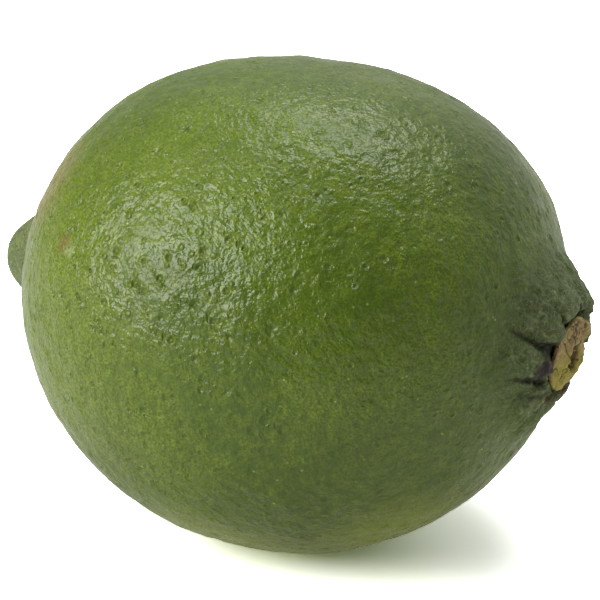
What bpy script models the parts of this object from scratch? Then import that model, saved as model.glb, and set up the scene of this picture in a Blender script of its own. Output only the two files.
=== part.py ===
"""A whole fresh lime lying on its side, with the dry stem button still seated in its socket.

The fruit grew as one piece, so it is one solid: body, furrowed collar, socket and nipple together.
The button is the dried end of the stalk, which sits in the socket and falls off by itself.

Metres, +Z up, +X along the fruit towards its stem end. The origin is the middle of the small flat
spot that the fruit rests on. "Around" is an angle about the fruit's long axis, measured from the
crown (+Z) towards +Y, and "polar" is an angle from the stem end (0) to the nipple end (180 degrees).
"""

import math

import bmesh
import bpy
import numpy as np
from mathutils import Euler, Vector

MM = 0.001

# Body of the fruit, measured from the middle of its widest section
EQUATOR_RADIUS = 27.0 * MM
STEM_HALF_LENGTH = 29.9 * MM
NIPPLE_HALF_LENGTH = 30.9 * MM
STEM_FULLNESS = 2.19  # the exponent of each half's outline: 2 is an ellipse, more is blunter
NIPPLE_FULLNESS = 2.14
CROWN_RISE = 0.084  # how far the sections near both ends shift towards the crown, as a share of radius
CROWN_RISE_TO_STEM = 0.025

# Nipple, the blunt tip where the flower stood
NIPPLE_HEIGHT = 4.0 * MM
NIPPLE_RADIUS = 4.8 * MM
NIPPLE_RISE = 0.7 * MM  # its middle sits this far towards the crown

# Furrowed collar around the stalk, higher on the crown side
COLLAR_HEIGHT = 2.75 * MM
COLLAR_RADIUS = 8.0 * MM
COLLAR_SLOPE_UP = 0.17
COLLAR_SLOPE_ACROSS = 0.05
LOBE_COUNT = 9
LOBE_HEIGHT = 0.5 * MM
LOBE_TURN = math.radians(40)

# Socket in the collar, and the dry button that sits in it
SOCKET_RADIUS = 4.75 * MM
SOCKET_EDGE = 0.45 * MM
SOCKET_FLOOR = 30.7 * MM  # from the widest section, on the long axis
BUTTON_RADIUS = 4.0 * MM
BUTTON_THICKNESS = 1.25 * MM
BUTTON_WOBBLE = 0.04
SEAT_GAP = 0.3 * MM

# How the fruit lies
REST_PITCH = math.radians(1.3)  # the stem end hangs a little lower
FLAT_DEPTH = 0.6 * MM

# Mesh fineness
FRUIT_SEGMENTS = 72
FRUIT_RINGS = 52
POLE_CROWDING = 0.72  # 0 spaces the rings evenly, and nearer 1 draws them towards the two ends
BUTTON_STEPS = 48


def clear_scene():
    """Remove whatever the scene holds."""
    for obj in list(bpy.data.objects):
        bpy.data.objects.remove(obj, do_unlink=True)


def smooth_step(value, low, high):
    """0 below low, 1 above high, and a smooth rise between them."""
    share = np.clip((value - low) / (high - low), 0.0, 1.0)
    return share * share * (3.0 - 2.0 * share)


def collar_slope(across, up):
    """How far the tilted collar stands out at a point, against its height on the axis."""
    return COLLAR_SLOPE_ACROSS * across + COLLAR_SLOPE_UP * up


def lobes(around, radius):
    """The collar's lobes: a cosine folded into sharp creases, over a ring outside the socket."""
    fold = np.abs(np.cos(0.5 * LOBE_COUNT * (around - LOBE_TURN))) ** 0.7
    ring = smooth_step(radius, 4.6 * MM, 5.8 * MM) * (1.0 - smooth_step(radius, 7.5 * MM, 12.0 * MM))
    return LOBE_HEIGHT * (2.0 * fold - 1.0) * ring


def fruit_surface(polar, around):
    """Points on the skin, in the fruit's own frame.

    Each half is a superellipse turned about the long axis, its sections shifted a little towards
    the crown. The nipple and the collar are blunt mounds added along the axis, the lobes fold the
    collar, and the socket is a level floor cut into its middle.
    """
    along, out = np.cos(polar), np.sin(polar)
    to_stem = along > 0
    half = np.where(to_stem, STEM_HALF_LENGTH, NIPPLE_HALF_LENGTH)
    fullness = np.where(to_stem, STEM_FULLNESS, NIPPLE_FULLNESS)
    x = np.sign(along) * half * np.abs(along) ** (2.0 / fullness)
    rise = CROWN_RISE * along**2 + CROWN_RISE_TO_STEM * along
    radius = EQUATOR_RADIUS * out * (1.0 + rise * np.cos(around))
    y = radius * np.sin(around)
    z = radius * np.cos(around)
    from_nipple = np.hypot(y, z - NIPPLE_RISE)
    x = x - NIPPLE_HEIGHT * np.exp(-((from_nipple / NIPPLE_RADIUS) ** 4)) * ~to_stem
    collar = (COLLAR_HEIGHT + collar_slope(y, z)) * np.exp(-((radius / COLLAR_RADIUS) ** 4))
    x = x + (collar + lobes(around, radius)) * to_stem
    floor = SOCKET_FLOOR + collar_slope(y, z)
    sunk = 1.0 - smooth_step(radius, SOCKET_RADIUS - SOCKET_EDGE, SOCKET_RADIUS + SOCKET_EDGE)
    x = np.where(to_stem, x + (floor - x) * sunk, x)
    return np.stack([x, y, z], axis=-1)


def rest_offset():
    """Where the fruit's own origin goes, so that the flat spot is level with the ground at the origin."""
    polar, around = np.meshgrid(np.linspace(0.3, 2.8, 2001), np.linspace(2.6, 3.7, 441))
    points = fruit_surface(polar, around).reshape(-1, 3)
    turned = points @ np.array(Euler((0.0, REST_PITCH, 0.0)).to_matrix()).T
    lowest = turned[turned[:, 2].argmin()]
    return Vector((-lowest[0], 0.0, -lowest[2] - FLAT_DEPTH))


def material(name, colour, roughness):
    """A Principled material with one colour."""
    made = bpy.data.materials.new(name)
    made.use_nodes = True
    shader = made.node_tree.nodes["Principled BSDF"]
    shader.inputs["Base Color"].default_value = (*colour, 1.0)
    shader.inputs["Roughness"].default_value = roughness
    shader.inputs["Metallic"].default_value = 0.0
    return made


def add_object(name, mesh, finish, parent):
    """Put a mesh in the scene as a named object under a parent."""
    mesh.materials.append(finish)
    obj = bpy.data.objects.new(name, mesh)
    bpy.context.scene.collection.objects.link(obj)
    obj.parent = parent
    return obj


def make_fruit_mesh():
    """A UV sphere whose points are moved out to the lime's own surface."""
    sphere = bmesh.new()
    bmesh.ops.create_uvsphere(sphere, u_segments=FRUIT_SEGMENTS, v_segments=FRUIT_RINGS, radius=1.0)
    points = np.array([vertex.co for vertex in sphere.verts])
    share = np.arccos(np.clip(points[:, 2], -1.0, 1.0)) / math.pi
    crowding = POLE_CROWDING * np.sin(2.0 * math.pi * share) / (2.0 * math.pi)
    polar = math.pi * (share - crowding)
    around = np.arctan2(-points[:, 1], points[:, 0])
    for vertex, place in zip(sphere.verts, fruit_surface(polar, around)):
        vertex.co = place
    mesh = bpy.data.meshes.new("fruit")
    sphere.to_mesh(mesh)
    sphere.free()
    mesh.shade_smooth()
    return mesh


def make_ground_cutter(parent):
    """A box below the ground, which cuts the flat spot."""
    block = bmesh.new()
    bmesh.ops.create_cube(block, size=0.05)
    mesh = bpy.data.meshes.new("ground_cutter")
    block.to_mesh(mesh)
    block.free()
    cutter = bpy.data.objects.new("ground_cutter", mesh)
    bpy.context.scene.collection.objects.link(cutter)
    cutter.location = (0.0, 0.0, -0.025)
    cutter.hide_render = True
    cutter.display_type = "WIRE"
    cutter.parent = parent
    return cutter


def make_button_mesh():
    """The dry button: a profile spun about +X, with its rim pushed slightly out of round.

    The profile runs from the middle of the underside, up the side, over the rim, across the sunk
    face, over the ring left by the stalk's woody bundle, and into the pit at its middle.
    """
    profile = [
        (0.0, 0.0),
        (0.0, 0.5),
        (0.0, 0.92),
        (0.35, 1.0),
        (0.8, 0.98),
        (1.0, 0.88),
        (0.92, 0.66),
        (1.0, 0.52),
        (1.16, 0.42),
        (1.1, 0.32),
        (0.84, 0.2),
        (0.78, 0.0),
    ]
    turned = bmesh.new()
    points = [turned.verts.new((x * BUTTON_THICKNESS, 0.0, r * BUTTON_RADIUS)) for x, r in profile]
    edges = [turned.edges.new(pair) for pair in zip(points, points[1:])]
    bmesh.ops.spin(
        turned,
        geom=points + edges,
        cent=(0.0, 0.0, 0.0),
        axis=(1.0, 0.0, 0.0),
        angle=2.0 * math.pi,
        steps=BUTTON_STEPS,
        use_merge=True,
    )
    bmesh.ops.remove_doubles(turned, verts=turned.verts, dist=0.01 * MM)
    bmesh.ops.recalc_face_normals(turned, faces=turned.faces)
    for vertex in turned.verts:
        around = math.atan2(vertex.co.y, vertex.co.z)
        wobble = 1.0 + BUTTON_WOBBLE * (0.6 * math.cos(2.0 * around - 0.4) + 0.4 * math.cos(5.0 * around))
        vertex.co.y *= wobble
        vertex.co.z *= wobble
    mesh = bpy.data.meshes.new("stem_button")
    turned.to_mesh(mesh)
    turned.free()
    mesh.shade_smooth()
    mesh.set_sharp_from_angle(angle=math.radians(50))
    return mesh


def main():
    clear_scene()
    lime = bpy.data.objects.new("lime", None)
    lime.empty_display_size = 0.01
    bpy.context.scene.collection.objects.link(lime)
    place = rest_offset()
    pitch = Euler((0.0, REST_PITCH, 0.0))

    rind = material("rind", (0.105, 0.155, 0.035), 0.42)
    fruit = add_object("fruit", make_fruit_mesh(), rind, lime)
    fruit.location = place
    fruit.rotation_euler = pitch
    flat_spot = fruit.modifiers.new("flat_spot", "BOOLEAN")
    flat_spot.operation = "DIFFERENCE"
    flat_spot.solver = "EXACT"
    flat_spot.object = make_ground_cutter(lime)

    dry_stem = material("dry_stem", (0.36, 0.23, 0.09), 0.85)
    button = add_object("stem_button", make_button_mesh(), dry_stem, lime)
    outward = Vector((1.0, -COLLAR_SLOPE_ACROSS, -COLLAR_SLOPE_UP)).normalized()
    seat = Vector((SOCKET_FLOOR, 0.0, 0.0)) + SEAT_GAP * outward
    lean = Vector((1.0, 0.0, 0.0)).rotation_difference(outward).to_matrix()
    button.location = place + pitch.to_matrix() @ seat
    button.rotation_euler = (pitch.to_matrix() @ lean).to_euler()


main()
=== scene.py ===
# %% [markdown]
# # A fresh lime
#
# This notebook finishes a whole lime that lies on its side: a pitted, waxy green rind and the dry,
# tan button of stalk in its collar. The engineering model gives the size, the place and the collision
# shapes. Here both of its pieces are made again as fine surfaces, and each gets a material of nodes.

# %% Load the frame
import math

import bpy
import numpy as np
from mathutils import Euler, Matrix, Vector


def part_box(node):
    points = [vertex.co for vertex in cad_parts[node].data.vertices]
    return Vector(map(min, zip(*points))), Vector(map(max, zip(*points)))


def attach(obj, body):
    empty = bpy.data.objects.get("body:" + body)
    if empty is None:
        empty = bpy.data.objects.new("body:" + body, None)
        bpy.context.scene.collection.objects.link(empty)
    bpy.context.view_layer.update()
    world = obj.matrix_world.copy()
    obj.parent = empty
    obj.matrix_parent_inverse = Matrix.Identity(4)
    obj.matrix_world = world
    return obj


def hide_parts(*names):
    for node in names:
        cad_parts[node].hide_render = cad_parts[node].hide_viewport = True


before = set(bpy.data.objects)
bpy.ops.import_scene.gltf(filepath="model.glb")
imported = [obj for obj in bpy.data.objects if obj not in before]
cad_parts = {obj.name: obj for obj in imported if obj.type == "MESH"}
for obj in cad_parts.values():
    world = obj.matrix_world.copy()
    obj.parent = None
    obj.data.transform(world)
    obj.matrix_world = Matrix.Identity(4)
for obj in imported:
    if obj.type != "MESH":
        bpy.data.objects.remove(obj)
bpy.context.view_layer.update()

# %% [markdown]
# ## Camera
#
# A lime looks most like itself through a long lens from a little above, because a short lens swells
# its near side. The camera is placed by two angles and a distance about the middle of the fruit, so
# it can be moved by changing one number. It stands towards the stem end, which then faces us a bit.

# %% Place the camera
MM = 0.001
CAMERA_TURN = math.radians(24)
CAMERA_HEIGHT = math.radians(20)
CAMERA_DISTANCE = 0.5
SENSOR_WIDTH = 36.0
FIELD_WIDTH = 65.54 * MM  # how much the picture takes in at the middle of the fruit
AIM = Vector((0.33 * MM, 0.48 * MM, 0.0))  # the aim is this far right of and above that middle
NEAREST_SEEN = 0.01

middle = Vector((0.0, 0.0, 26.4 * MM))
camera_data = bpy.data.cameras.new("camera")
camera = bpy.data.objects.new("camera", camera_data)
bpy.context.scene.collection.objects.link(camera)
camera.rotation_euler = (math.pi / 2 - CAMERA_HEIGHT, 0.0, CAMERA_TURN)
axes = camera.rotation_euler.to_matrix()
camera.location = middle + axes @ (AIM + Vector((0.0, 0.0, CAMERA_DISTANCE)))
camera_data.sensor_width = SENSOR_WIDTH
camera_data.lens = SENSOR_WIDTH * CAMERA_DISTANCE / FIELD_WIDTH
camera_data.clip_start = NEAREST_SEEN
bpy.context.scene.camera = camera
bpy.context.scene.view_settings.view_transform = "Standard"
print(f"lens {camera_data.lens:.0f} mm at {CAMERA_DISTANCE} m")

# %% [markdown]
# ## Floor and light
#
# The fruit lies in a light tent: a white floor that fades into a white surround, so its shadow is
# only a soft grey pool. Two soft boxes give the rind its two broad gleams, one in front on the left
# and one overhead. Surround and paper are made of nodes, so the first cell has two helpers: one adds
# any node and fills in its inputs in a single call, and one turns a value into a smooth ramp.

# %% Node helpers
def add_node(tree, kind, values=None, **settings):
    """Add a node, set its attributes, and set or link its inputs; values maps input names to both."""
    node = tree.nodes.new(kind)
    for name, value in settings.items():
        setattr(node, name, value)
    for name, value in (values or {}).items():
        socket = node.inputs[name]
        if isinstance(value, bpy.types.NodeSocket):
            tree.links.new(value, socket)
        else:
            socket.default_value = value
    return node


def ramp(tree, value, low, high, to_low=0.0, to_high=1.0):
    """Smooth Map Range from low and high to two values; its Result socket."""
    node = add_node(
        tree,
        "ShaderNodeMapRange",
        {"Value": value, "From Min": low, "From Max": high, "To Min": to_low, "To Max": to_high},
        interpolation_type="SMOOTHSTEP",
    )
    return node.outputs["Result"]


print("helpers ready:", add_node.__name__, ramp.__name__)

# %% [markdown]
# ### The white surround
#
# The surround is brighter for the lens than for the fruit, which keeps the ground white behind the
# fruit without washing the rind out: the Light Path node tells a ray from the lens from all others.
# What the rind mirrors isn't even either. It is darkest behind the camera and brightest far above
# on the right, and that unevenness is what makes a waxy skin look round.

# %% White surround
SURROUND_SEEN = 1.05
SURROUND_LIGHT = 0.22  # behind the fruit
SURROUND_FRONT = 0.10  # behind the camera the tent is open, and dark
CAMERA_WAY = Vector((0.0, 0.0, 1.0))  # as the camera sees it, straight back towards it
FACING_RANGE = (0.1, 0.85)
SURROUND_DIM_SIDE = 0.7
SURROUND_BRIGHT_SIDE = 3.1  # more light comes through the tent above and on the right
SIDE_RANGE = (-0.3, 0.8)
BRIGHT_WAY = Vector((0.68, 0.70, -0.20))  # right, up and away, as the camera sees it

world = bpy.data.worlds.new("light_tent")
bpy.context.scene.world = world
world.use_nodes = True
tent = world.node_tree
direction = add_node(tent, "ShaderNodeTexCoord").outputs["Generated"]


def level_towards(way, span, levels):
    """A light level that goes from the first to the second as a direction turns towards a way."""
    dot = add_node(tent, "ShaderNodeVectorMath", {0: direction, 1: axes @ way}, operation="DOT_PRODUCT")
    return ramp(tent, dot.outputs["Value"], *span, *levels)


depth_level = level_towards(CAMERA_WAY, FACING_RANGE, (SURROUND_LIGHT, SURROUND_FRONT))
side_level = level_towards(BRIGHT_WAY, SIDE_RANGE, (SURROUND_DIM_SIDE, SURROUND_BRIGHT_SIDE))
light_level = add_node(tent, "ShaderNodeMath", {0: depth_level, 1: side_level}, operation="MULTIPLY")
ray = add_node(tent, "ShaderNodeLightPath")
level = add_node(
    tent,
    "ShaderNodeMix",
    {"Factor": ray.outputs["Is Camera Ray"], "A": light_level.outputs["Value"], "B": SURROUND_SEEN},
)
background = tent.nodes["Background"]
background.inputs["Color"].default_value = (1.0, 1.0, 1.0, 1.0)
tent.links.new(level.outputs["Result"], background.inputs["Strength"])
print("surround, as seen and as light:", SURROUND_SEEN, SURROUND_LIGHT)

# %% [markdown]
# ### The floor
#
# The floor is one large square of matt paper. Real paper under a dark fruit is overexposed, so all
# of it burns out to white but the shadow; here the paper is given a gain for the lens alone. For the
# fruit it is ordinary paper with a faint glow, which fills the shade under the belly.

# %% Floor
PAPER_LIGHT = 0.5  # the share of light that the paper sends back to the fruit
PAPER_SEEN = 2.75  # the same share for the lens, with the gain
PAPER_GLOW = 0.25
PAPER_TINT = (1.0, 1.0, 0.70, 1.0)  # the glow is a little yellow, as light that has met the fruit is
FLOOR_SIDE = 6.0


def make_paper():
    """Matt white paper: it looks brighter to the lens than it is to the fruit."""
    paper = bpy.data.materials.new("white_paper")
    paper.use_nodes = True
    tree = paper.node_tree
    tree.nodes.clear()
    seen = add_node(tree, "ShaderNodeLightPath").outputs["Is Camera Ray"]
    white = add_node(tree, "ShaderNodeMix", {"Factor": seen, "A": PAPER_LIGHT, "B": PAPER_SEEN})
    glow = add_node(tree, "ShaderNodeMix", {"Factor": seen, "A": PAPER_GLOW, "B": 0.0})
    matt = add_node(tree, "ShaderNodeBsdfDiffuse", {"Color": white.outputs["Result"]})
    light = add_node(tree, "ShaderNodeEmission", {"Color": PAPER_TINT, "Strength": glow.outputs["Result"]})
    both = add_node(tree, "ShaderNodeAddShader", {0: matt.outputs["BSDF"], 1: light.outputs["Emission"]})
    add_node(tree, "ShaderNodeOutputMaterial", {"Surface": both.outputs["Shader"]})
    return paper


def paper_floor(size):
    """A level square of white paper under the fruit."""
    mesh = bpy.data.meshes.new("floor")
    half = size / 2
    mesh.from_pydata(
        [(-half, -half, 0.0), (half, -half, 0.0), (half, half, 0.0), (-half, half, 0.0)],
        [],
        [(0, 1, 2, 3)],
    )
    made = bpy.data.objects.new("floor", mesh)
    bpy.context.scene.collection.objects.link(made)
    mesh.materials.append(make_paper())
    return made


paper_floor(FLOOR_SIDE)
print("floor side, m:", FLOOR_SIDE)

# %% [markdown]
# ### Two soft boxes
#
# A soft box is a square lamp, wide enough to look like a window in the wax. Each is placed by two
# angles and a distance, like the camera, and is aimed at the middle of the fruit. Its power is
# worked out from its brightness and its area, so that a wider box doesn't get dimmer.

# %% Soft boxes
BOX_DISTANCE = 0.6


def soft_box(name, turn, height, width, depth, radiance):
    """A square light aimed at the fruit, placed by a turn from the camera and a height in degrees."""
    data = bpy.data.lights.new(name, "AREA")
    data.shape = "RECTANGLE"
    data.size = width
    data.size_y = depth
    data.energy = radiance * math.pi * width * depth
    light = bpy.data.objects.new(name, data)
    bpy.context.scene.collection.objects.link(light)
    heading = CAMERA_TURN + math.radians(turn)
    rise = math.radians(height)
    light.rotation_euler = (math.pi / 2 - rise, 0.0, heading)
    light.location = middle + light.rotation_euler.to_matrix() @ Vector((0.0, 0.0, BOX_DISTANCE))
    light.visible_camera = False
    return light


soft_boxes = [
    soft_box("front_left_box", -67, 29, 0.36, 0.42, 9.0),
    soft_box("overhead_box", 156, 73, 0.38, 0.26, 6.4),
]
for light in soft_boxes:
    print(light.name, "power, W:", round(light.data.energy, 2))

# %% [markdown]
# ## Patterns worked out on points
#
# A rind is uneven at several sizes at once. Two patterns give that: a smooth noise, which is random
# numbers on the corners of a lattice blended between them, and a gland pattern, which scatters one
# point in each cell of a lattice and finds the nearest. Both take whole arrays of points, so they
# need no loop over the points and stay fast on a fine surface.

# %% Smooth noise and scattered glands
MIXERS = (73856093, 19349663, 83492791, 2654435761, 1274126177, 668265263)  # large odd numbers
ALL_BITS = 0xFFFFFFFF


def lattice_random(cell, seed):
    """A repeatable number from 0 to 1 for each whole-number cell (last axis: x, y, z)."""
    cell = cell.astype(np.int64)
    mixed = cell[..., 0] * MIXERS[0] ^ cell[..., 1] * MIXERS[1] ^ cell[..., 2] * MIXERS[2] ^ seed * MIXERS[3]
    mixed = (mixed ^ mixed >> 13) * MIXERS[4] & ALL_BITS
    mixed = (mixed ^ mixed >> 15) * MIXERS[5] & ALL_BITS
    return (mixed ^ mixed >> 16) / ALL_BITS


def smooth_noise(points, size, seed):
    """Noise from -1 to 1: lattice numbers a given size apart, blended by a smooth step on each axis."""
    place = points / size
    cell = np.floor(place)
    share = place - cell
    share = share * share * (3.0 - 2.0 * share)
    total = 0.0
    for corner in np.ndindex(2, 2, 2):
        corner = np.array(corner)
        weight = np.prod(np.where(corner == 1, share, 1.0 - share), axis=-1)
        total = total + weight * lattice_random(cell + corner, seed)
    return 2.0 * total - 1.0


def layered_noise(points, size, seed, layers=3):
    """Smooth noise with finer, weaker layers added: each is half the size and half the height."""
    total = 0.0
    for layer in range(layers):
        total = total + 0.5**layer * smooth_noise(points, size * 0.5**layer, seed + layer)
    return total


def nearest_gland(points, size, seed):
    """The offset to the nearest scattered point, a random number that belongs to that point, and how
    much further away the second nearest is."""
    cell = np.floor(points / size)
    best = np.full(points.shape[:-1], np.inf)
    second = best
    offset = np.zeros_like(points)
    chance = np.zeros(points.shape[:-1])
    for neighbour in np.ndindex(3, 3, 3):
        near = cell + np.array(neighbour) - 1.0
        jitter = np.stack([lattice_random(near, seed + axis) for axis in range(3)], axis=-1)
        reach = (near + jitter) * size - points
        distance = np.linalg.norm(reach, axis=-1)
        closer = distance < best
        second = np.where(closer, best, np.minimum(second, distance))
        best = np.where(closer, distance, best)
        offset = np.where(closer[..., None], reach, offset)
        chance = np.where(closer, lattice_random(near, seed + 3), chance)
    return offset, chance, second - best


sample = smooth_noise(np.random.default_rng(1).random((1000, 3)), 0.1, 5)
print("smooth noise, lowest, mean and highest:", sample.min(), sample.mean(), sample.max())

# %% [markdown]
# ## The shape of the fruit
#
# The fruit is one closed surface of two parameters. "Polar" runs from the stem end to the nipple and
# "around" runs about the long axis, starting at the crown. Each half is a superellipse turned about
# the axis, which is an ellipse with blunter shoulders, and its sections rise a little towards the
# crown at both ends. These are the measures of the engineering model, so the two agree.

# %% The smooth body
EQUATOR_RADIUS = 27.0 * MM
STEM_HALF = 29.9 * MM
NIPPLE_HALF = 30.9 * MM
STEM_FULLNESS = 2.19
NIPPLE_FULLNESS = 2.14
CROWN_RISE = 0.084
CROWN_RISE_TO_STEM = 0.025
REST_PITCH = math.radians(1.3)


def smooth_step(value, low, high):
    """0 below low, 1 above high, and a smooth rise between them."""
    share = np.clip((value - low) / (high - low), 0.0, 1.0)
    return share * share * (3.0 - 2.0 * share)


def body_surface(polar, around):
    """Turned superellipse: x = half * cos(polar)^(2/fullness), radius = equator * sin(polar)."""
    along = np.cos(polar)
    half = np.where(along > 0, STEM_HALF, NIPPLE_HALF)
    fullness = np.where(along > 0, STEM_FULLNESS, NIPPLE_FULLNESS)
    x = np.sign(along) * half * np.abs(along) ** (2.0 / fullness)
    rise = CROWN_RISE * along**2 + CROWN_RISE_TO_STEM * along
    radius = EQUATOR_RADIUS * np.sin(polar) * (1.0 + rise * np.cos(around))
    return x, radius * np.sin(around), radius * np.cos(around)


print("body, length and width in mm:", (STEM_HALF + NIPPLE_HALF) / MM, 2 * EQUATOR_RADIUS / MM)

# %% [markdown]
# ## Collar, socket and nipple
#
# Where the stalk grew, the rind swells into a collar of soft lobes with sharp creases between them,
# like the gathered mouth of a bag. A lobe is a dome with its own place, width, length and height,
# and two neighbours leave a soft valley where they meet. The sharp creases are pressed in after
# that, each along a straight stroke that a slow noise makes waver. In the middle of the collar is a
# shallow socket for the stem button, and at the other end of the fruit is a blunt nipple.

# %% Measures of the two ends
COLLAR_HEIGHT = 2.75 * MM
COLLAR_RADIUS = 8.0 * MM
COLLAR_SLOPE_UP = 0.17
COLLAR_SLOPE_ACROSS = 0.05
SOCKET_RADIUS = 4.75 * MM
SOCKET_EDGE = 0.45 * MM
SOCKET_FLOOR = 30.7 * MM
NIPPLE_HEIGHT = 4.0 * MM
NIPPLE_RADIUS = 4.8 * MM
NIPPLE_RISE = 0.7 * MM

# Each lobe: its middle and half width in degrees around;
# the radius of its peak, its reach inwards and outwards from there, and its height, in mm
LOBES = [
    (38, 27, 6.6, 2.0, 4.6, 1.00),
    (-16, 33, 7.4, 2.5, 6.2, 1.10),
    (-52, 13, 5.9, 1.2, 2.0, 0.80),
    (-89, 20, 6.9, 2.1, 5.8, 0.95),
    (-130, 17, 6.6, 1.9, 4.6, 0.60),
    (-160, 18, 6.4, 1.8, 4.0, 0.40),
    (163, 18, 6.4, 1.8, 4.2, 0.30),
    (124, 20, 6.6, 1.9, 4.8, 0.35),
    (84, 19, 6.6, 1.9, 4.6, 0.55),
]
LOBE_BLUNTNESS = 0.75
LOBE_MERGE = 6
VALLEY_DEPTH = 0.35 * MM
CREASE_WAVER = math.radians(7)
CREASE_WANDER = 0.45 * MM

# Each crease: its outer and inner end as (degrees around, mm from the axis), its width and depth in mm
CREASES = [
    ((-59, 11.8), (-66, 6.4), 0.38, 0.55),
    ((-90, 10.6), (-112, 5.2), 0.42, 0.80),
    ((-108, 9.6), (-131, 5.4), 0.45, 0.45),
    ((-33, 8.2), (-32, 5.0), 0.32, 0.45),
    ((17, 9.2), (12, 5.0), 0.36, 0.60),
    ((-66, 6.6), (-67, 4.6), 0.60, 0.60),
    ((-141, 9.4), (-142, 5.0), 0.36, 0.45),
    ((-178, 9.0), (-179, 5.0), 0.36, 0.40),
    ((143, 9.6), (145, 5.0), 0.36, 0.45),
    ((103, 9.2), (104, 5.0), 0.36, 0.45),
    ((63, 9.4), (62, 5.0), 0.36, 0.50),
]


def collar_slope(y, z):
    """How far the tilted collar stands out at a point, against its height on the axis."""
    return COLLAR_SLOPE_ACROSS * y + COLLAR_SLOPE_UP * z


def lobe_relief(around, radius):
    """Height of the lobes. Each is a dome: one less the squares of its turn and its length, to the
    power of its bluntness. Where domes meet, the sixth root of the sum of their sixth powers keeps
    the taller one and rounds the valley. A shallow ring is then taken off the whole collar."""
    total = np.zeros_like(radius)
    for middle_turn, half_width, peak, inner, outer, height in LOBES:
        turn = np.angle(np.exp(1j * (around - math.radians(middle_turn)))) / math.radians(half_width)
        length = radius / MM - peak
        length = np.where(length < 0.0, length / inner, length / outer)
        dome = np.clip(1.0 - turn**2 - length**2, 0.0, None) ** LOBE_BLUNTNESS
        total = total + (height * dome) ** LOBE_MERGE
    inner_side = smooth_step(radius, 4.6 * MM, 5.6 * MM)
    outer_side = 1.0 - smooth_step(radius, 7 * MM, 12 * MM)
    return MM * total ** (1.0 / LOBE_MERGE) - VALLEY_DEPTH * inner_side * outer_side


def crease_relief(y, z):
    """Depth of the creases: a bell curve of the distance to each stroke, shallower at its outer end."""
    relief = np.zeros_like(y)
    for outer_end, inner_end, width, depth in CREASES:
        (y0, z0), (y1, z1) = [
            (reach * MM * math.sin(math.radians(turn)), reach * MM * math.cos(math.radians(turn)))
            for turn, reach in (outer_end, inner_end)
        ]
        stroke_squared = (y1 - y0) ** 2 + (z1 - z0) ** 2
        along = np.clip(((y - y0) * (y1 - y0) + (z - z0) * (z1 - z0)) / stroke_squared, 0, 1)
        gap = np.hypot(y - y0 - along * (y1 - y0), z - z0 - along * (z1 - z0))
        bell = np.exp(-((gap / (width * MM)) ** 2))
        relief = relief - depth * MM * bell * smooth_step(along, -0.1, 0.6)
    return relief


def fruit_surface(polar, around):
    """The whole smooth skin. Along the axis, the body gets a mound at each end, which is its height
    times exp(-(radius / width)^4), and at the stem end the lobes less the creases. Inside the socket
    that is blended to a plane, which leans like the collar."""
    x, y, z = body_surface(polar, around)
    radius = np.hypot(y, z)
    stem_end = polar < math.pi / 2
    from_nipple = np.hypot(y, z - NIPPLE_RISE)
    x = x - NIPPLE_HEIGHT * np.exp(-((from_nipple / NIPPLE_RADIUS) ** 4)) * ~stem_end
    points = np.stack([x, y, z], axis=-1)
    waver = CREASE_WAVER * smooth_noise(points, 3.2 * MM, 31)
    wander = CREASE_WANDER * np.stack([smooth_noise(points, 2.2 * MM, seed) for seed in (33, 35)])
    collar = (COLLAR_HEIGHT + collar_slope(y, z)) * np.exp(-((radius / COLLAR_RADIUS) ** 4))
    gathers = lobe_relief(around + waver, radius) + crease_relief(y + wander[0], z + wander[1])
    x = x + (collar + gathers) * stem_end
    floor_x = SOCKET_FLOOR + collar_slope(y, z)
    edge = SOCKET_RADIUS + 0.3 * MM * smooth_noise(points, 3.0 * MM, 41)
    sunk = 1.0 - smooth_step(radius, edge - SOCKET_EDGE, edge + SOCKET_EDGE)
    x = np.where(stem_end, x + (floor_x - x) * sunk, x)
    return np.stack([x, y, z], axis=-1)


print("lobes and creases of the collar:", len(LOBES), len(CREASES))

# %% [markdown]
# ## A closed grid of points
#
# A grid with rings from pole to pole becomes a closed skin when the last column joins the first and
# each pole is one point. Rings are drawn together at the two ends, where the collar and the nipple
# need fine detail, by spacing them with a density: the rings are placed where the running total of
# the density reaches equal steps.

# %% Grid and mesh helpers
RINGS = 243
SEGMENTS = 400


def crowded_polar(rings):
    """Polar angles for the rings, denser at the stem end and a little denser at the nipple."""
    angle = np.linspace(0.0, math.pi, 4001)
    stem_crowd = 1.6 * np.exp(-((angle / 0.42) ** 4))
    nipple_crowd = 0.7 * np.exp(-(((math.pi - angle) / 0.3) ** 4))
    density = 1.0 + stem_crowd + nipple_crowd
    total = np.cumsum(density)
    total = (total - total[0]) / (total[-1] - total[0])
    return np.interp(np.linspace(0.0, 1.0, rings + 2), total, angle)[1:-1]


def grid_normals(points, outward):
    """Unit normals of a grid closed across its columns, turned to agree with rough outward ways."""
    down = np.gradient(points, axis=0)
    across = np.roll(points, -1, axis=1) - np.roll(points, 1, axis=1)
    normal = np.cross(down, across)
    normal /= np.linalg.norm(normal, axis=-1, keepdims=True)
    flip = np.sign((normal * outward).sum(-1, keepdims=True))
    return normal * flip


def signed_volume(mesh):
    """Volume inside a closed mesh; it comes out below zero if the faces point inwards."""
    mesh.calc_loop_triangles()
    corners = np.empty(len(mesh.loop_triangles) * 3, np.int32)
    mesh.loop_triangles.foreach_get("vertices", corners)
    places = np.empty(len(mesh.vertices) * 3, np.float32)
    mesh.vertices.foreach_get("co", places)
    a, b, c = places.reshape(-1, 3)[corners.reshape(-1, 3)].astype(float).transpose(1, 0, 2)
    return float((a * np.cross(b, c)).sum() / 6.0)


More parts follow.
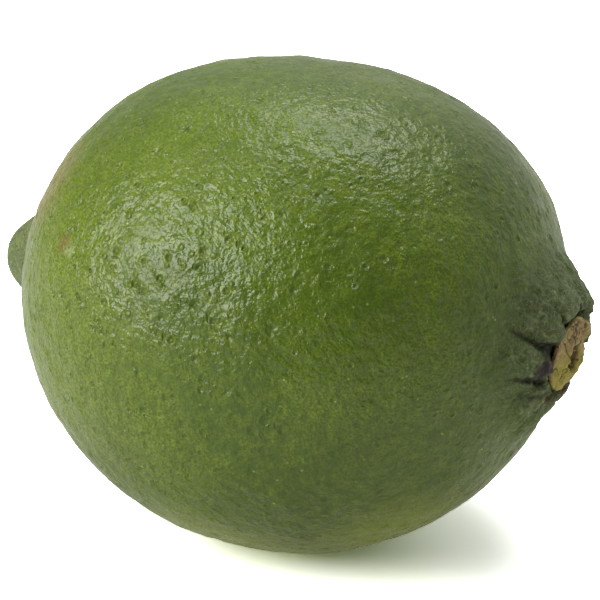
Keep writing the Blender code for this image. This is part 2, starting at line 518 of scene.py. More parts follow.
def closed_mesh(name, points, first_pole, last_pole):
    """A mesh from rings of points with one point at each pole, its faces pointing outwards."""
    rings, segments = points.shape[:2]
    vertices = np.concatenate([points.reshape(-1, 3), [first_pole], [last_pole]])
    ring, segment = np.meshgrid(np.arange(rings - 1), np.arange(segments), indexing="ij")
    beside = (segment + 1) % segments
    quads = np.stack(
        [
            ring * segments + segment,
            (ring + 1) * segments + segment,
            (ring + 1) * segments + beside,
            ring * segments + beside,
        ],
        axis=-1,
    ).reshape(-1, 4)
    edge = np.arange(segments)
    after = (edge + 1) % segments
    last = (rings - 1) * segments
    first_fan = np.stack([np.full(segments, rings * segments), edge, after], axis=-1)
    last_fan = np.stack([np.full(segments, rings * segments + 1), last + after, last + edge], axis=-1)
    mesh = bpy.data.meshes.new(name)
    mesh.from_pydata(vertices.tolist(), [], quads.tolist() + first_fan.tolist() + last_fan.tolist())
    mesh.update()
    if signed_volume(mesh) < 0:
        mesh.flip_normals()
    mesh.shade_smooth()
    return mesh


ring_steps = np.degrees(np.diff(crowded_polar(RINGS)))
print("closest and widest rings, degrees apart:", ring_steps.min(), ring_steps.max())

# %% [markdown]
# ## The rind's own relief
#
# Oil glands show as pits about a millimetre wide and two apart, each with a faint raised lip. The
# skin between them is gently pebbled, and the whole fruit is a little uneven. Near the stem the pits
# give way to wrinkles that run with the creases. All of this is added along the surface's normal, in
# real geometry, and each point keeps the way to its nearest gland for the material to use.

# %% Relief of the rind
GLAND_SIZE = 1.8 * MM
GLAND_SEED = 7
GLAND_RADIUS = 0.62 * MM
GLAND_DEPTH = 0.09 * MM
CLEAR_OF_OTHERS = (0.25 * MM, 0.60 * MM)  # a pit fades out where a second gland is nearly as close
UNEVENNESS = 0.16 * MM
DENT_DEPTH = 0.09 * MM
PEBBLE_HEIGHT = 0.085 * MM
WRINKLE_HEIGHT = 0.19 * MM


def wrinkle_relief(points, around, radius):
    """Wrinkles from -1 to 1: sharp ridges along the zero lines of a noise drawn out towards the socket,
    with a net of finer ridges between them."""
    fan = np.stack([6.0 * MM * np.cos(around), 6.0 * MM * np.sin(around), 0.5 * radius], axis=-1)
    fan = fan + 0.3 * MM * smooth_noise(points, 2.0 * MM, 81)[..., None]
    lines = 1.0 - 3.2 * np.abs(smooth_noise(fan, 1.2 * MM, 83))
    net = 1.0 - 3.2 * np.abs(smooth_noise(points, 0.8 * MM, 87))
    return np.clip(0.5 * lines + 0.5 * net, -1.0, 1.0)


def rind_relief(points, polar, around):
    """Height along the normal: layers of noise for unevenness, dents and pebbling, less a smooth step of
    the distance to the nearest gland, plus the gland's lip and, at the collar, the wrinkles."""
    offset, chance, clearance = nearest_gland(points, GLAND_SIZE, GLAND_SEED)
    distance = np.linalg.norm(offset, axis=-1)
    pit_radius = GLAND_RADIUS * (0.6 + 0.7 * chance)
    inside = 1.0 - smooth_step(distance, 0.15 * pit_radius, pit_radius)
    lip = np.exp(-(((distance - 1.15 * pit_radius) / (0.3 * pit_radius)) ** 2))
    radius = np.hypot(points[..., 1], points[..., 2])
    stem_end = polar < math.pi / 2
    near_stem = (1.0 - smooth_step(radius, 8.0 * MM, 14.0 * MM)) * stem_end
    lone = smooth_step(clearance, *CLEAR_OF_OTHERS) * (1.0 - smooth_step(distance, 0.70 * MM, 0.90 * MM))
    pits = GLAND_DEPTH * (0.25 * lip - inside) * (1.0 - 0.7 * near_stem) * lone
    uneven = UNEVENNESS * layered_noise(points, 11.0 * MM, 51, 2)
    dents = DENT_DEPTH * layered_noise(points, 4.2 * MM, 57, 2)
    pebbles = PEBBLE_HEIGHT * layered_noise(points, 2.0 * MM, 61, 2)
    wrinkles = wrinkle_relief(points, around, radius)
    relief = pits + (uneven + dents) * (1.0 - near_stem) + pebbles + WRINKLE_HEIGHT * wrinkles * near_stem
    return relief, offset, lone, chance, wrinkles


print("glands are about", GLAND_SIZE / MM, "mm apart and", 2 * GLAND_RADIUS / MM, "mm wide at most")

# %% [markdown]
# ### Putting the skin together
#
# The smooth skin is made first, then its normals, and then every point is moved along its normal by
# the relief. The two poles are single points: they take the smooth skin as it is.

# %% Build the rind
polar, around = np.meshgrid(
    crowded_polar(RINGS), np.linspace(0.0, 2.0 * math.pi, SEGMENTS, endpoint=False), indexing="ij"
)
smooth_skin = fruit_surface(polar, around)
normals = grid_normals(smooth_skin, smooth_skin)
relief, to_gland, gland_lone, gland_chance, wrinkles = rind_relief(smooth_skin, polar, around)
skin = smooth_skin + normals * relief[..., None]
pole_angles = np.array([1e-6, math.pi - 1e-6])
pole_points = fruit_surface(pole_angles, np.zeros(2))
print("rind spacing near the equator, mm:", 2 * math.pi * EQUATOR_RADIUS / SEGMENTS / MM)
print("relief, lowest and highest, mm:", relief.min() / MM, relief.max() / MM)

# %% [markdown]
# ### Laying it down
#
# The fruit lies on a small flat spot, where its weight presses the rind level. The finished points
# are pitched to the resting angle, moved to where the engineering model lies, and whatever would be
# below the floor is brought up to it.

# %% Lay the rind down and make its mesh
fruit_low, fruit_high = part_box("fruit")
pitch = np.array(Euler((0.0, REST_PITCH, 0.0)).to_matrix())
laid = smooth_skin @ pitch.T
place = Vector((fruit_low.x - laid[..., 0].min(), 0.0, fruit_high.z - laid[..., 2].max()))


def lay_down(points):
    """Pitch points from the fruit's own frame, move them to their place, and press them to the floor."""
    moved = points @ pitch.T + np.array(place)
    moved[..., 2] = np.maximum(moved[..., 2], 0.0)
    return moved


rind_mesh = closed_mesh("rind", lay_down(skin), *lay_down(pole_points))
rind = bpy.data.objects.new("rind", rind_mesh)
bpy.context.scene.collection.objects.link(rind)
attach(rind, "root")
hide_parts("fruit")
print("rind triangles:", 2 * RINGS * SEGMENTS, "volume, cm3:", signed_volume(rind_mesh) * 1e6)

# %% [markdown]
# ### What the points remember
#
# The material has to colour the same pits, wrinkles and creases that the shape has; in the pits and
# the creases that colour is painted shade. Each point keeps the way to its gland, as a vector that can
# be blended between points, and four plain numbers.

# %% Store what the material needs on the points
def store(mesh, name, kind, values):
    """Keep one value per point on the mesh; the two poles repeat the first and last of them."""
    values = values.reshape(len(mesh.vertices) - 2, -1)
    values = np.concatenate([values, values[:1], values[-1:]]).astype(np.float32)
    field = mesh.attributes.new(name, kind, "POINT")
    field.data.foreach_set("vector" if kind == "FLOAT_VECTOR" else "value", values.ravel())


store(rind_mesh, "to_gland", "FLOAT_VECTOR", to_gland / MM)
store(rind_mesh, "gland_near", "FLOAT", gland_lone)
store(rind_mesh, "gland_size", "FLOAT", gland_chance)
store(rind_mesh, "wrinkle", "FLOAT", wrinkles)
crease_depth = -crease_relief(skin[..., 1], skin[..., 2]) / (0.6 * MM)
store(rind_mesh, "crease", "FLOAT", crease_depth * (polar < math.pi / 2))
print("kept on the rind's points:", ["to_gland", "gland_near", "gland_size", "wrinkle", "crease"])

# %% [markdown]
# ## Green, waxy rind
#
# Lime green isn't one colour. Wide zones run from deep green to yellow green. Some are the rind's own
# tone; others are partly painted light and shade: a paler, yellower side towards the left soft box, a
# paler patch on the upper front that is partly a painted highlight, a darker face towards the lens
# that is partly painted shade, and a lighter underside that is painted bounce light from the floor.
# Over them lie a fine mottle, a dark grain and pale specks. The colours are mixed in that order, from
# large to small. A thin wax makes the gleams, and it is duller at the two ends, where the skin is
# wrinkled and scuffed.
#
# First come short functions for the nodes that are used again and again: a sum, a product, a mix
# of colours and a noise. A round patch with a ragged edge is used so often that it is a node group,
# which is built once and then placed anywhere by its centre and size.

# %% Helpers for the finishes
def new_group(name, inputs, outputs):
    """An empty shader node group with named sockets; each socket is (name, type, default)."""
    group = bpy.data.node_groups.new(name, "ShaderNodeTree")
    for label, kind, default in inputs:
        socket = group.interface.new_socket(label, in_out="INPUT", socket_type=kind)
        if default is not None:
            socket.default_value = default
    for label, kind in outputs:
        group.interface.new_socket(label, in_out="OUTPUT", socket_type=kind)
    return group, group.nodes.new("NodeGroupInput"), group.nodes.new("NodeGroupOutput")


def calculate(tree, operation, first, second=0.0):
    """One Math node; its Value socket."""
    return add_node(tree, "ShaderNodeMath", {0: first, 1: second}, operation=operation).outputs["Value"]


def multiply(tree, first, second):
    """The product of two values."""
    return calculate(tree, "MULTIPLY", first, second)


def blend(tree, factor, first, second):
    """Mix two colours; the Result socket. The Mix node keeps its colour sockets at places 6 and 7."""
    node = tree.nodes.new("ShaderNodeMix")
    node.data_type = "RGBA"
    for socket, value in ((node.inputs[0], factor), (node.inputs[6], first), (node.inputs[7], second)):
        if isinstance(value, bpy.types.NodeSocket):
            tree.links.new(value, socket)
        elif isinstance(value, tuple):
            socket.default_value = (*value, 1.0)
        else:
            socket.default_value = value
    return node.outputs[2]


def noise(tree, coordinates, size_mm, detail=2.0, roughness=0.5):
    """Noise texture with features of a given size in millimetres; its first output, the value."""
    node = add_node(
        tree,
        "ShaderNodeTexNoise",
        {"Vector": coordinates, "Scale": 1.0 / size_mm, "Detail": detail, "Roughness": roughness},
    )
    return node.outputs[0]


def make_patch_group():
    """Group: a round soft patch, 1 within its core and 0 beyond its edge, ragged by noise."""
    group, start, end = new_group(
        "soft_patch",
        [
            ("Coordinates", "NodeSocketVector", None),
            ("Centre", "NodeSocketVector", (0.0, 0.0, 0.0)),
            ("Core", "NodeSocketFloat", 1.0),
            ("Edge", "NodeSocketFloat", 2.0),
            ("Raggedness", "NodeSocketFloat", 0.0),
            ("Grain", "NodeSocketFloat", 1.0),
        ],
        [("Mask", "NodeSocketFloat")],
    )
    distance = add_node(
        group,
        "ShaderNodeVectorMath",
        {0: start.outputs["Coordinates"], 1: start.outputs["Centre"]},
        operation="DISTANCE",
    ).outputs["Value"]
    ragged = add_node(
        group,
        "ShaderNodeTexNoise",
        {"Vector": start.outputs["Coordinates"], "Scale": start.outputs["Grain"], "Detail": 3.0},
    ).outputs[0]
    shift = multiply(group, calculate(group, "SUBTRACT", ragged, 0.5), start.outputs["Raggedness"])
    pushed = calculate(group, "ADD", distance, shift)
    mask = ramp(group, pushed, start.outputs["Core"], start.outputs["Edge"], 1.0, 0.0)
    group.links.new(mask, end.inputs["Mask"])
    return group


patch_group = make_patch_group()


def patch(tree, coordinates, centre_mm, core, edge, raggedness=0.0, grain=1.0):
    """A soft patch about a point given in millimetres in the fruit's own frame; its Mask socket."""
    centre = (pitch @ (np.array(centre_mm) * MM) + np.array(place)) / MM
    node = tree.nodes.new("ShaderNodeGroup")
    node.node_tree = patch_group
    tree.links.new(coordinates, node.inputs["Coordinates"])
    node.inputs["Centre"].default_value = tuple(centre)
    node.inputs["Core"].default_value = core
    node.inputs["Edge"].default_value = edge
    node.inputs["Raggedness"].default_value = raggedness
    node.inputs["Grain"].default_value = grain
    return node.outputs["Mask"]


print("node group:", patch_group.name, "with", len(patch_group.nodes), "nodes")

# %% [markdown]
# ### Colours and marks of the rind
#
# The colours are linear values, which are smaller numbers than the screen shows. A fruit carries its
# own history too: a pink side, a bruise, a rubbed scar and browned spots in the collar. Beside them
# lies a black pocket by the button, which is a painted shadow. Each of those is one soft patch from
# the list, after four wide zones of green, which are partly painted light and shade, all laid over
# the rind in order.

# %% Colours of the rind
DEEP_GREEN = (0.056, 0.095, 0.007)
LEAF_GREEN = (0.102, 0.158, 0.010)
YELLOW_GREEN = (0.215, 0.270, 0.015)
SPECK_GREEN = (0.360, 0.430, 0.120)
COLLAR_GREEN = (0.076, 0.105, 0.032)
RIDGE_GREEN = (0.300, 0.360, 0.160)
PAINTED_CREASE_SHADE = (0.018, 0.024, 0.006)
NIPPLE_GREEN = (0.150, 0.185, 0.065)

PINK = (0.340, 0.200, 0.090)
RUST = (0.170, 0.110, 0.030)
PALE_SCAR = (0.300, 0.340, 0.150)
BRUISE_PURPLE = (0.045, 0.028, 0.030)
PAINTED_POCKET_SHADOW = (0.016, 0.014, 0.005)
LOBE_BROWN = (0.110, 0.065, 0.025)
RIM_BROWN = (0.105, 0.080, 0.030)

# Each mark: its centre in mm in the fruit's own frame, its core and edge in mm,
# how ragged the edge is and how finely, its colour and its strength
MARKS = [
    # Partly a painted highlight: a faint yellow patch on the upper front
    ((-6.2, -18.4, 19.0), 2.0, 11.0, 4.0, 0.25, YELLOW_GREEN, 0.06),
    # Partly painted shade: the deep green face towards the lens, which mirrors the dark front of the tent
    ((14.5, -22.1, 10.4), 3.0, 13.0, 4.0, 0.20, DEEP_GREEN, 0.30),
    # Painted bounce light from the floor, on the underside's own yellower green: two lighter patches below
    ((-2.0, -12.0, -25.0), 3.0, 15.0, 3.0, 0.25, YELLOW_GREEN, 0.75),
    ((16.0, -10.0, -20.0), 2.0, 12.0, 3.0, 0.25, YELLOW_GREEN, 0.70),
    ((-25.5, -9.5, 13.0), 2.0, 8.0, 3.0, 0.60, PINK, 0.30),
    ((-18.9, -19.3, 10.2), 0.3, 1.7, 1.6, 1.30, RUST, 0.50),
    ((-17.7, -20.3, 9.9), 0.0, 1.1, 2.2, 2.60, PALE_SCAR, 0.60),
    ((31.3, -6.3, -0.1), 0.9, 1.9, 1.6, 1.50, BRUISE_PURPLE, 0.95),
    # Painted shadow: a black pocket in the shaded gap between the collar and the button
    ((31.0, -5.0, 2.0), 0.5, 1.4, 0.6, 1.00, PAINTED_POCKET_SHADOW, 0.90),
    ((30.9, -2.6, -4.4), 0.5, 1.7, 0.8, 1.00, LOBE_BROWN, 0.75),
    ((31.0, 1.7, -4.9), 1.0, 2.6, 1.2, 0.90, RIM_BROWN, 0.85),
]
print("marks on the rind:", len(MARKS))

# %% [markdown]
# ### Reading the glands and starting a material
#
# Every finish starts alike: a Principled shader and coordinates in millimetres, so a pattern's size
# can be written as one measures it. The pits are drawn from the way each point keeps to its gland: its
# length is the distance, and a pit and a raised lip are two ramps of that. They shape the bump, and in
# the colour they carry painted shade in the pit and a painted highlight on the lip.

# %% Start of a material, and the glands
GLAND_LEAST = 0.26  # mm, the radius of the smallest gland
GLAND_SPREAD = 0.36  # mm, how much larger the largest is


def start_material(name):
    """A new node material; returns it with its tree, its shader and Object coordinates in millimetres."""
    made = bpy.data.materials.new(name)
    made.use_nodes = True
    tree = made.node_tree
    shader = tree.nodes["Principled BSDF"]
    coordinates = add_node(tree, "ShaderNodeTexCoord").outputs["Object"]
    scaled = add_node(tree, "ShaderNodeVectorMath", {0: coordinates, "Scale": 1.0 / MM}, operation="SCALE")
    return made, tree, shader, scaled.outputs["Vector"]


def stored(tree, name):
    """The value that the points keep under a name; its Factor socket."""
    return add_node(tree, "ShaderNodeAttribute", attribute_name=name).outputs["Fac"]


def gland_masks(tree):
    """The pit and the raised lip of the nearest gland, each from 0 to 1."""
    way = add_node(tree, "ShaderNodeAttribute", attribute_name="to_gland").outputs["Vector"]
    distance = add_node(tree, "ShaderNodeVectorMath", {0: way}, operation="LENGTH").outputs["Value"]
    size = multiply(tree, stored(tree, "gland_size"), GLAND_SPREAD)
    pit_radius = calculate(tree, "ADD", size, GLAND_LEAST)
    share = calculate(tree, "DIVIDE", distance, pit_radius)
    near = stored(tree, "gland_near")
    pit = multiply(tree, ramp(tree, share, 0.2, 1.0, 1.0, 0.0), near)
    lip = multiply(tree, ramp(tree, share, 0.8, 1.2), ramp(tree, share, 1.2, 2.0, 1.0, 0.0))
    return pit, multiply(tree, lip, near)


print("gland radius, mm:", GLAND_LEAST, "to", GLAND_LEAST + GLAND_SPREAD)

# %% [markdown]
# ### The material of the rind
#
# Colour and bump are two functions that share a few masks: the worn skin at the two ends, the
# scratches on it and the pits. The bump only holds what is too fine for the mesh: the grain of the
# peel, pores, the sharp edge of each pit, and small raised flecks that catch the light.

# %% The rind material
# Sizes of the patterns, in mm
ZONE_SIZE = 17.0
MOTTLE_SIZE = 1.4
GRAIN_SIZE = 0.24
SPECKS_PER_MM = 0.8
SCRATCH_SIZE = 1.1
WAX_SIZE = 3.0
PEEL_SIZE = 0.95
PORE_SIZE = 0.42
FLECKS_PER_MM = 0.55

# Heights of the bump, in mm
PEEL_HEIGHT = 0.29
PORE_HEIGHT = 0.070
PIT_HEIGHT = -0.21
LIP_HEIGHT = 0.06
FLECK_HEIGHT = 0.14
SCRATCH_HEIGHT = 0.26

# Gloss
WAX_ROUGHNESS = (0.23, 0.34)
WORN_ROUGHNESS = 0.22  # added where the skin is worn
WAX_IOR = 1.43


def rind_masks(tree, place_mm):
    """Masks that colour, gloss and bump share, by name."""
    masks = {
        "near_stem": patch(tree, place_mm, (31.0, 0.0, 1.5), 5.5, 14.0, 5.0, 0.40),
        "near_nipple": patch(tree, place_mm, (-32.5, 0.0, 0.7), 4.5, 8.0, 2.0, 0.60),
    }
    masks["pit"], masks["lip"] = gland_masks(tree)
    masks["worn"] = calculate(tree, "MAXIMUM", masks["near_stem"], masks["near_nipple"])
    off_middle = calculate(tree, "SUBTRACT", noise(tree, place_mm, SCRATCH_SIZE, 4.0, 0.7), 0.5)
    masks["scratches"] = ramp(tree, calculate(tree, "ABSOLUTE", off_middle), 0.0, 0.07, 1.0, 0.0)
    return masks


def rind_colour(tree, place_mm, masks):
    """Zones, partly painted light and shade, mottle and grain, then the greys of the two ends,
    painted shade in the pits and a painted highlight on their lips, specks, scuffs, painted shade in
    the creases, and marks, one of them a painted shadow.
    """
    wide = noise(tree, place_mm, ZONE_SIZE, 1.0)
    colour = blend(tree, ramp(tree, wide, 0.36, 0.64), LEAF_GREEN, DEEP_GREEN)
    # Painted light in part: the side towards the left soft box is made paler and yellower, on a rind that is
    # yellower towards the nipple
    yellow_and_lit_side = patch(tree, place_mm, (-24.0, -16.0, 0.0), 6.0, 34.0, 8.0, 0.12)
    colour = blend(tree, multiply(tree, yellow_and_lit_side, 0.42), colour, YELLOW_GREEN)
    mottle = noise(tree, place_mm, MOTTLE_SIZE, 4.0, 0.65)
    colour = blend(tree, ramp(tree, mottle, 0.35, 0.7, 0.0, 0.40), colour, YELLOW_GREEN)
    grain = noise(tree, place_mm, GRAIN_SIZE, 2.0, 0.7)
    colour = blend(tree, ramp(tree, grain, 0.40, 0.60, 0.85, 0.0), colour, DEEP_GREEN)
    colour = blend(tree, multiply(tree, masks["near_stem"], 0.75), colour, COLLAR_GREEN)
    colour = blend(tree, multiply(tree, masks["near_nipple"], 0.7), colour, NIPPLE_GREEN)
    # Painted shade in the pits and a painted highlight on their raised lips
    colour = blend(tree, multiply(tree, masks["pit"], 0.40), colour, DEEP_GREEN)
    colour = blend(tree, multiply(tree, masks["lip"], 0.12), colour, YELLOW_GREEN)

    specks = add_node(tree, "ShaderNodeTexVoronoi", {"Vector": place_mm, "Scale": SPECKS_PER_MM})
    parts = add_node(tree, "ShaderNodeSeparateColor", {"Color": specks.outputs["Color"]})
    speck = ramp(tree, specks.outputs["Distance"], 0.05, 0.15, 1.0, 0.0)
    speck = multiply(tree, speck, ramp(tree, parts.outputs["Red"], 0.55, 1.0, 0.0, 0.8))
    colour = blend(tree, speck, colour, SPECK_GREEN)

    ridge = multiply(tree, ramp(tree, stored(tree, "wrinkle"), 0.10, 0.70), masks["near_stem"])
    scuffed = multiply(tree, masks["scratches"], masks["worn"])
    pale = calculate(tree, "MAXIMUM", multiply(tree, ridge, 0.42), multiply(tree, scuffed, 0.65))
    colour = blend(tree, pale, colour, RIDGE_GREEN)
    # Painted shade: the creases are darkened to almost black green by their depth
    colour = blend(tree, ramp(tree, stored(tree, "crease"), 0.25, 1.1, 0.0, 0.85), colour, PAINTED_CREASE_SHADE)
    for centre, core, edge, raggedness, fineness, tint, strength in MARKS:
        mark = patch(tree, place_mm, centre, core, edge, raggedness, fineness)
        colour = blend(tree, multiply(tree, mark, strength), colour, tint)
    return colour


def rind_height(tree, place_mm, masks):
    """Height of the bump in mm: peel and pores, less pits, plus lips, flecks and scratches. Pits and
    flecks are strongest where the glands stand open, on the upper front of the fruit."""
    open_glands = patch(tree, place_mm, (-10.0, -20.0, 14.0), 10.0, 28.0, 6.0, 0.20)
    depth = calculate(tree, "ADD", multiply(tree, open_glands, 0.65), 0.35)
    flecks = add_node(tree, "ShaderNodeTexVoronoi", {"Vector": place_mm, "Scale": FLECKS_PER_MM})
    fleck = ramp(tree, flecks.outputs["Distance"], 0.08, 0.26, 1.0, 0.0)
    height = multiply(tree, noise(tree, place_mm, PEEL_SIZE, 2.0, 0.55), PEEL_HEIGHT)
    for layer, layer_height in (
        (noise(tree, place_mm, PORE_SIZE, 2.0, 0.6), PORE_HEIGHT),
        (multiply(tree, masks["pit"], depth), PIT_HEIGHT),
        (masks["lip"], LIP_HEIGHT),
        (multiply(tree, fleck, open_glands), FLECK_HEIGHT),
        (multiply(tree, masks["scratches"], masks["worn"]), SCRATCH_HEIGHT),
    ):
        height = calculate(tree, "ADD", height, multiply(tree, layer, layer_height))
    return height


def make_rind_material():
    """Green zones, marks, wax and fine relief."""
    made, tree, shader, place_mm = start_material("rind")
    masks = rind_masks(tree, place_mm)
    tree.links.new(rind_colour(tree, place_mm, masks), shader.inputs["Base Color"])
    wax = ramp(tree, noise(tree, place_mm, WAX_SIZE, 2.0), 0.3, 0.7, *WAX_ROUGHNESS)
    roughness = calculate(tree, "ADD", wax, multiply(tree, masks["worn"], WORN_ROUGHNESS))
    tree.links.new(roughness, shader.inputs["Roughness"])
    shader.inputs["IOR"].default_value = WAX_IOR
    height = rind_height(tree, place_mm, masks)
    bump = add_node(tree, "ShaderNodeBump", {"Height": height, "Distance": MM, "Strength": 1.0})
    tree.links.new(bump.outputs["Normal"], shader.inputs["Normal"])
    return made


rind_mesh.materials.append(make_rind_material())
print("nodes in the rind's material:", len(rind_mesh.materials[0].node_tree.nodes))

# %% [markdown]
# ## The stem button
#
# Where the fruit came off its stalk, a dry disc is left in the collar. It isn't round or flat: its rim
# is lumpy and notched, and in the middle stands the ring of the stalk's vessels about a sunken,
# crumbled pith. It is one closed surface again: a flat pill in polar form, with the ring, the hollow
# and the cracks added to its top. It has the place and the tilt of the engineering model's button.

# %% Shape of the stem button
BUTTON_RADIUS = 4.2 * MM
VISIBLE_THICKNESS = 1.0 * MM
SEAT_GAP = 0.3 * MM
RING_RADIUS = 1.35 * MM
RING_WIDTH = 0.40 * MM
RING_HEIGHT = 0.42 * MM
HOLLOW_DEPTH = 0.55 * MM
MOAT_DEPTH = 0.22 * MM  # a shallow groove around the ring
STREAK_HEIGHT = 0.30
CRUMB_HEIGHT = 0.14

button_out = np.array([1.0, -COLLAR_SLOPE_ACROSS, -COLLAR_SLOPE_UP])
button_out /= np.linalg.norm(button_out)
button_up = np.array([0.0, 0.0, 1.0]) - button_out[2] * button_out
button_up /= np.linalg.norm(button_up)
button_side = np.cross(button_up, button_out)
button_seat = np.array([SOCKET_FLOOR, 0.0, 0.0]) + SEAT_GAP * button_out


def button_outline(turn):
    """Radius of the rim: a circle pushed towards one side, with a corner, a notch and small lumps."""
    ways = np.stack([np.cos(turn), np.sin(turn), 0.0 * turn], axis=-1)
    lumps = 0.05 * smooth_noise(ways, 0.35, 101) + 0.03 * smooth_noise(ways, 0.14, 103)
    notch = 0.20 * np.exp(-(((turn - math.radians(80)) / math.radians(16)) ** 2))
    corner = 0.13 * np.exp(-(((turn - math.radians(47)) / math.radians(12)) ** 2))
    push = 0.07 * np.cos(turn + math.radians(85))
    return BUTTON_RADIUS * (0.96 + push + corner - notch + lumps)


def button_surface(polar, turn):
    """Flat pill: out = outline * sin(polar)^(1/2), height = half thickness * (1 + cos(polar)^(1/2)). Its
    top gets bell curves of the distance from the pith, for the ring, the hollow and the groove, and
    the size of a drawn-out noise, which is least along the cracks."""
    wrapped = np.angle(np.exp(1j * turn))
    out = button_outline(wrapped) * np.sqrt(np.sin(polar))
    rise = np.sign(np.cos(polar)) * np.abs(np.cos(polar)) ** 0.5
    flat = np.stack([out * np.cos(turn), out * np.sin(turn), 0.0 * out], axis=-1)
    bend = [smooth_noise(flat, 1.5 * MM, 111), smooth_noise(flat, 1.5 * MM, 113), 0.0 * out]
    bent = flat + 0.35 * MM * np.stack(bend, axis=-1)
    from_pith = np.hypot(bent[..., 0] * 0.72, (bent[..., 1] + 0.5 * MM) * 1.1)
    ring = RING_HEIGHT * np.exp(-(((from_pith - RING_RADIUS) / RING_WIDTH) ** 2))
    hollow = -HOLLOW_DEPTH * np.exp(-((from_pith / (0.75 * RING_RADIUS)) ** 4))
    moat = -MOAT_DEPTH * np.exp(-(((from_pith - 2.1 * RING_RADIUS) / (0.5 * MM)) ** 2))
    streaks = np.abs(smooth_noise(bent * np.array([0.35, 1.0, 1.0]), 0.55 * MM, 121))
    crumbs = CRUMB_HEIGHT * layered_noise(flat, 0.8 * MM, 125, 3)
    lean = 0.09 * flat[..., 1] + 0.10 * MM
    relief = ring + hollow + moat + lean + MM * (STREAK_HEIGHT * (streaks - 0.25) + crumbs)
    height = VISIBLE_THICKNESS * (0.5 + 0.5 * rise) + relief * smooth_step(rise, 0.2, 0.9)
    across = flat[..., :1] * button_up + flat[..., 1:2] * button_side
    return button_seat + across + height[..., None] * button_out, from_pith, streaks


rim = button_outline(np.linspace(-math.pi, math.pi, 361)) / MM
print("button rim, least and greatest radius, mm:", rim.min(), rim.max())

# %% [markdown]
# ### Building the button
#
# The same grid and mesh helpers serve again, and so does the laying down, because the button is made
# in the fruit's own frame. Its points keep how far they are from the pith, how deep the cracks are
# there, and how high and how near they lie on the disc, for the colours to follow.

# %% Build the stem button
BUTTON_RINGS = 150
BUTTON_SEGMENTS = 260

button_polar, button_turn = np.meshgrid(
    np.linspace(0.0, math.pi, BUTTON_RINGS + 2)[1:-1],
    np.linspace(0.0, 2.0 * math.pi, BUTTON_SEGMENTS, endpoint=False),
    indexing="ij",
)
button_points, from_pith, streaks = button_surface(button_polar, button_turn)
button_poles, _, _ = button_surface(pole_angles, np.zeros(2))
button_mesh = closed_mesh("stem_button", lay_down(button_points), *lay_down(button_poles))
button = bpy.data.objects.new("dry_stem_button", button_mesh)
bpy.context.scene.collection.objects.link(button)
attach(button, "root")
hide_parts("stem_button")
store(button_mesh, "from_pith", "FLOAT", from_pith / MM)
store(button_mesh, "streak", "FLOAT", streaks)
store(button_mesh, "up_side", "FLOAT", (button_points - button_seat) @ button_up / MM)
store(button_mesh, "near_side", "FLOAT", -(button_points - button_seat) @ button_side / MM)
button_volume = signed_volume(button_mesh) / MM**3
print("button triangles:", 2 * BUTTON_RINGS * BUTTON_SEGMENTS, "volume, mm3:", button_volume)

# %% [markdown]
# ## Dry stem
#
# Dried stalk is tan and ochre, still a bit green and yellow where it dried last, pinkish brown at the
# rim, and almost purple where sap has stained it. The colours follow the shape: the cracks are
# darkened with painted shade, the pith has creamy crumbs, and a ring of painted shade lies about it,
# over the wall of the sunken hollow. The surface is dry, so its gloss is weak and broad.

# %% The dry stem material
TAN = (0.440, 0.330, 0.125)
OCHRE = (0.400, 0.350, 0.060)
ROSE_BROWN = (0.270, 0.150, 0.085)
SAP_STAIN = (0.085, 0.040, 0.028)
PAINTED_SHADE_BROWN = (0.060, 0.033, 0.012)
CREAM = (0.620, 0.500, 0.280)
FIBRE_SIZE = 0.35  # mm
FIBRE_HEIGHT = 0.22
CRACK_HEIGHT = -0.12
STEM_ROUGHNESS = (0.55, 0.80)
STEM_IOR = 1.4


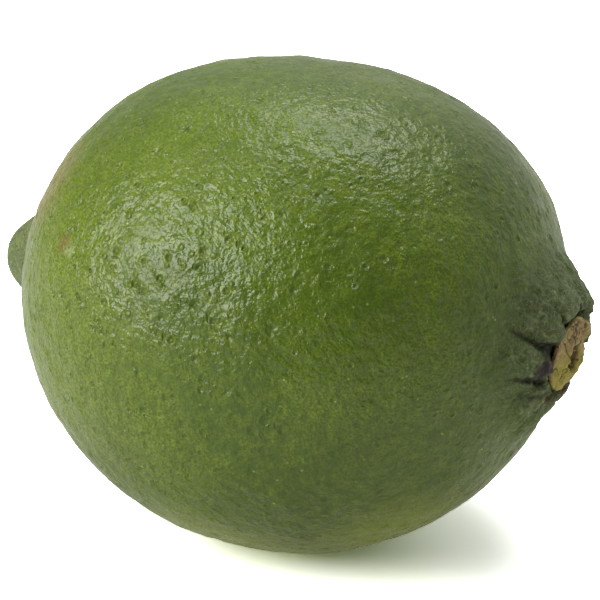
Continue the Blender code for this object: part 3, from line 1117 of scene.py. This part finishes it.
def stem_colour(tree, place_mm, fine, crack):
    """Tan above and ochre below, a rosy rim, stains, cracks darkened with painted shade, a ring of
    painted shade in the hollow and a crumbled pith.
    """
    patches = noise(tree, place_mm, 1.2, 3.0, 0.6)
    up_side = stored(tree, "up_side")
    height = calculate(tree, "ADD", up_side, multiply(tree, patches, 3.0))
    colour = blend(tree, ramp(tree, height, 0.4, 3.2), OCHRE, TAN)
    rim = ramp(tree, stored(tree, "near_side"), 2.9, 4.1)
    colour = blend(tree, multiply(tree, rim, 0.7), colour, ROSE_BROWN)
    colour = blend(tree, ramp(tree, fine, 0.40, 0.55, 0.35, 0.0), colour, ROSE_BROWN)
    stain = ramp(tree, noise(tree, place_mm, 0.9, 3.0, 0.6), 0.50, 0.62, 0.0, 0.85)
    colour = blend(tree, multiply(tree, ramp(tree, up_side, 1.2, 2.6), stain), colour, SAP_STAIN)
    # Painted shade: the cracks are darkened
    colour = blend(tree, crack, colour, PAINTED_SHADE_BROWN)
    pith = stored(tree, "from_pith")
    # Painted shade: a dark ring over the wall of the sunken hollow about the pith
    hollow_shade_ring = multiply(tree, ramp(tree, pith, 0.45, 0.7), ramp(tree, pith, 0.95, 1.2, 1.0, 0.0))
    colour = blend(tree, multiply(tree, hollow_shade_ring, 0.85), colour, PAINTED_SHADE_BROWN)
    crumbs = ramp(tree, noise(tree, place_mm, 0.45, 2.0, 0.6), 0.47, 0.55, 0.0, 0.9)
    colour = blend(tree, multiply(tree, ramp(tree, pith, 0.5, 0.8, 1.0, 0.0), crumbs), colour, CREAM)
    flecks = ramp(tree, noise(tree, place_mm, 0.3, 2.0, 0.6), 0.60, 0.68)
    return blend(tree, multiply(tree, flecks, 0.55), colour, CREAM)


def make_stem_material():
    """Dry, matt stalk with a fine bump and darker, sunken cracks."""
    made, tree, shader, place_mm = start_material("dry_stem")
    fine = noise(tree, place_mm, FIBRE_SIZE, 3.0, 0.7)
    crack = ramp(tree, stored(tree, "streak"), 0.0, 0.14, 0.85, 0.0)
    tree.links.new(stem_colour(tree, place_mm, fine, crack), shader.inputs["Base Color"])
    tree.links.new(ramp(tree, fine, 0.3, 0.7, *STEM_ROUGHNESS), shader.inputs["Roughness"])
    shader.inputs["IOR"].default_value = STEM_IOR
    fibres = multiply(tree, fine, FIBRE_HEIGHT)
    relief = calculate(tree, "ADD", fibres, multiply(tree, crack, CRACK_HEIGHT))
    bump = add_node(tree, "ShaderNodeBump", {"Height": relief, "Distance": MM, "Strength": 1.0})
    tree.links.new(bump.outputs["Normal"], shader.inputs["Normal"])
    return made


button_mesh.materials.append(make_stem_material())
print("nodes in the stem's material:", len(button_mesh.materials[0].node_tree.nodes))
